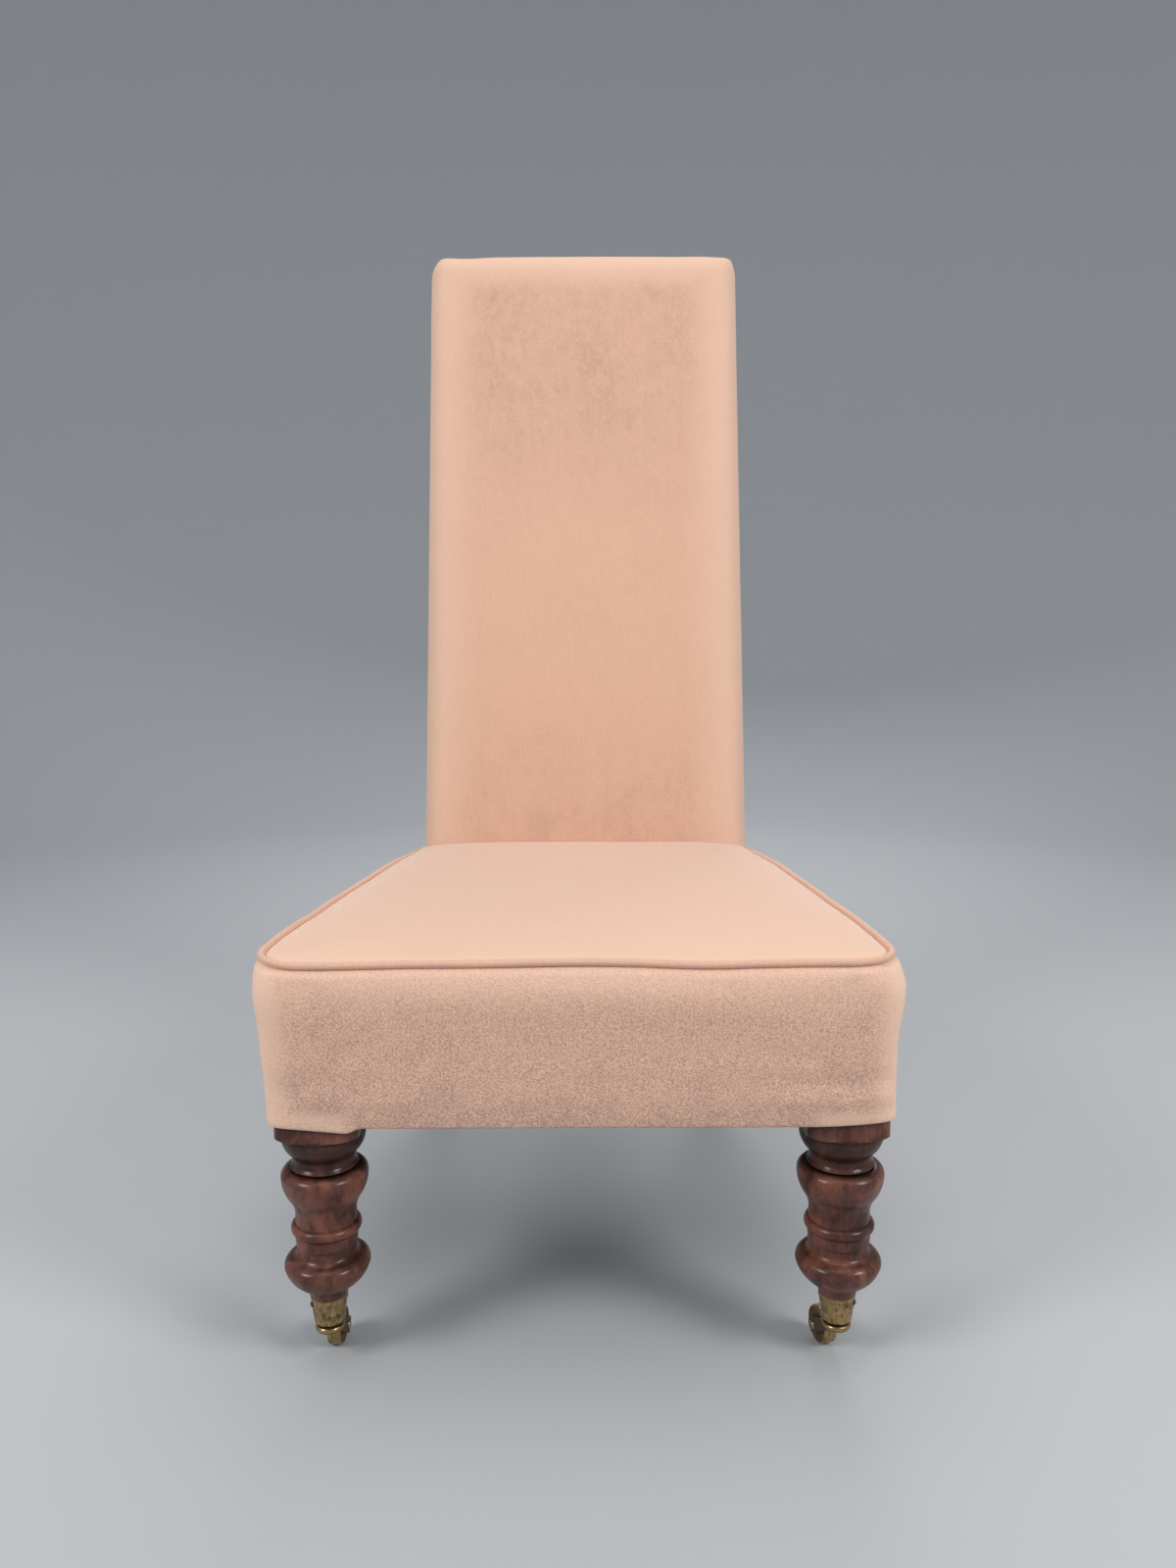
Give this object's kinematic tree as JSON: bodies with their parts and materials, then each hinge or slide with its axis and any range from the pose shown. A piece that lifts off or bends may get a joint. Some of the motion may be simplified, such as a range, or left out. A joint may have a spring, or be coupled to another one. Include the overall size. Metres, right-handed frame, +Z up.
{
  "type": "slipper chair",
  "caption": "Low armless upholstered slipper chair with a tall raked back, piped seat, turned front legs and brass cup castors.",
  "frame": {"origin": "on the floor, under the middle of the chair's bounding box", "axes": "+Z up, -Y towards the front, the way a sitter faces, +X to the right as seen from the front"},
  "size_m": [0.519, 0.6686, 1.0738],
  "materials": {
    "velvet": "short-pile peach velvet",
    "mahogany": "dark red-brown polish",
    "frame_beech": "unfinished",
    "aged_brass": "tarnished",
    "dark_steel": "aged",
    "spring_steel": "copper-washed",
    "jute_webbing": "twill weave",
    "hessian": "plain weave",
    "hair_stuffing": "curled hair",
    "black_cloth": "plain weave",
    "blued_tacks": "blued"
  },
  "bodies": {
    "chair": {"back_canvas": "hessian", "back_cover": "velvet", "back_post_left": "mahogany", "back_post_right": "mahogany", "back_rail": "frame_beech", "back_stuffing": "hair_stuffing", "back_webbing": "jute_webbing", "bottom_cloth": "black_cloth", "bottom_tacks": "blued_tacks", "castor_cup_front_left": "aged_brass", "castor_cup_front_right": "aged_brass", "castor_cup_rear_left": "aged_brass", "castor_cup_rear_right": "aged_brass", "castor_screws": "dark_steel", "frame_dowels": "frame_beech", "front_leg_left": "mahogany", "front_leg_right": "mahogany", "front_rail": "frame_beech", "glue_blocks": "frame_beech", "outside_back": "velvet", "seat_boxing": "velvet", "seat_canvas": "hessian", "seat_piping": "velvet", "seat_springs": "spring_steel", "seat_stuffing": "hair_stuffing", "seat_top_cover": "velvet", "seat_webbing": "jute_webbing", "side_rail_left": "frame_beech", "side_rail_right": "frame_beech", "stay_rail": "frame_beech", "top_rail": "frame_beech"},
    "front_left_fork": {"castor_fork_front_left": "aged_brass", "castor_pintle_front_left": "dark_steel", "castor_axle_front_left": "dark_steel"},
    "front_left_wheel": {"castor_wheel_front_left": "aged_brass"},
    "front_right_fork": {"castor_fork_front_right": "aged_brass", "castor_pintle_front_right": "dark_steel", "castor_axle_front_right": "dark_steel"},
    "front_right_wheel": {"castor_wheel_front_right": "aged_brass"},
    "rear_left_fork": {"castor_fork_rear_left": "aged_brass", "castor_pintle_rear_left": "dark_steel", "castor_axle_rear_left": "dark_steel"},
    "rear_left_wheel": {"castor_wheel_rear_left": "aged_brass"},
    "rear_right_fork": {"castor_fork_rear_right": "aged_brass", "castor_pintle_rear_right": "dark_steel", "castor_axle_rear_right": "dark_steel"},
    "rear_right_wheel": {"castor_wheel_rear_right": "aged_brass"}
  },
  "joints": [
    {"name": "front_left_swivel", "type": "hinge", "parent": "chair", "child": "front_left_fork", "pos_m": [-0.215, -0.28999, 0.036], "axis": [0, 0, 1], "continuous": true},
    {"name": "front_left_roll", "type": "hinge", "parent": "front_left_fork", "child": "front_left_wheel", "pos_m": [-0.21416, -0.266, 0.016], "axis": [0.9994, -0.0349, 0], "continuous": true},
    {"name": "front_right_swivel", "type": "hinge", "parent": "chair", "child": "front_right_fork", "pos_m": [0.215, -0.28999, 0.036], "axis": [0, 0, 1], "continuous": true},
    {"name": "front_right_roll", "type": "hinge", "parent": "front_right_fork", "child": "front_right_wheel", "pos_m": [0.20838, -0.26692, 0.016], "axis": [0.9613, 0.2756, 0], "continuous": true},
    {"name": "rear_left_swivel", "type": "hinge", "parent": "chair", "child": "rear_left_fork", "pos_m": [-0.16826, 0.23072, 0.036], "axis": [0, 0, 1], "continuous": true},
    {"name": "rear_left_roll", "type": "hinge", "parent": "rear_left_fork", "child": "rear_left_wheel", "pos_m": [-0.1645, 0.25442, 0.016], "axis": [0.9877, -0.1564, 0], "continuous": true},
    {"name": "rear_right_swivel", "type": "hinge", "parent": "chair", "child": "rear_right_fork", "pos_m": [0.16826, 0.23072, 0.036], "axis": [0, 0, 1], "continuous": true},
    {"name": "rear_right_roll", "type": "hinge", "parent": "rear_right_fork", "child": "rear_right_wheel", "pos_m": [0.16327, 0.25419, 0.016], "axis": [0.9781, 0.2079, 0], "continuous": true}
  ]
}
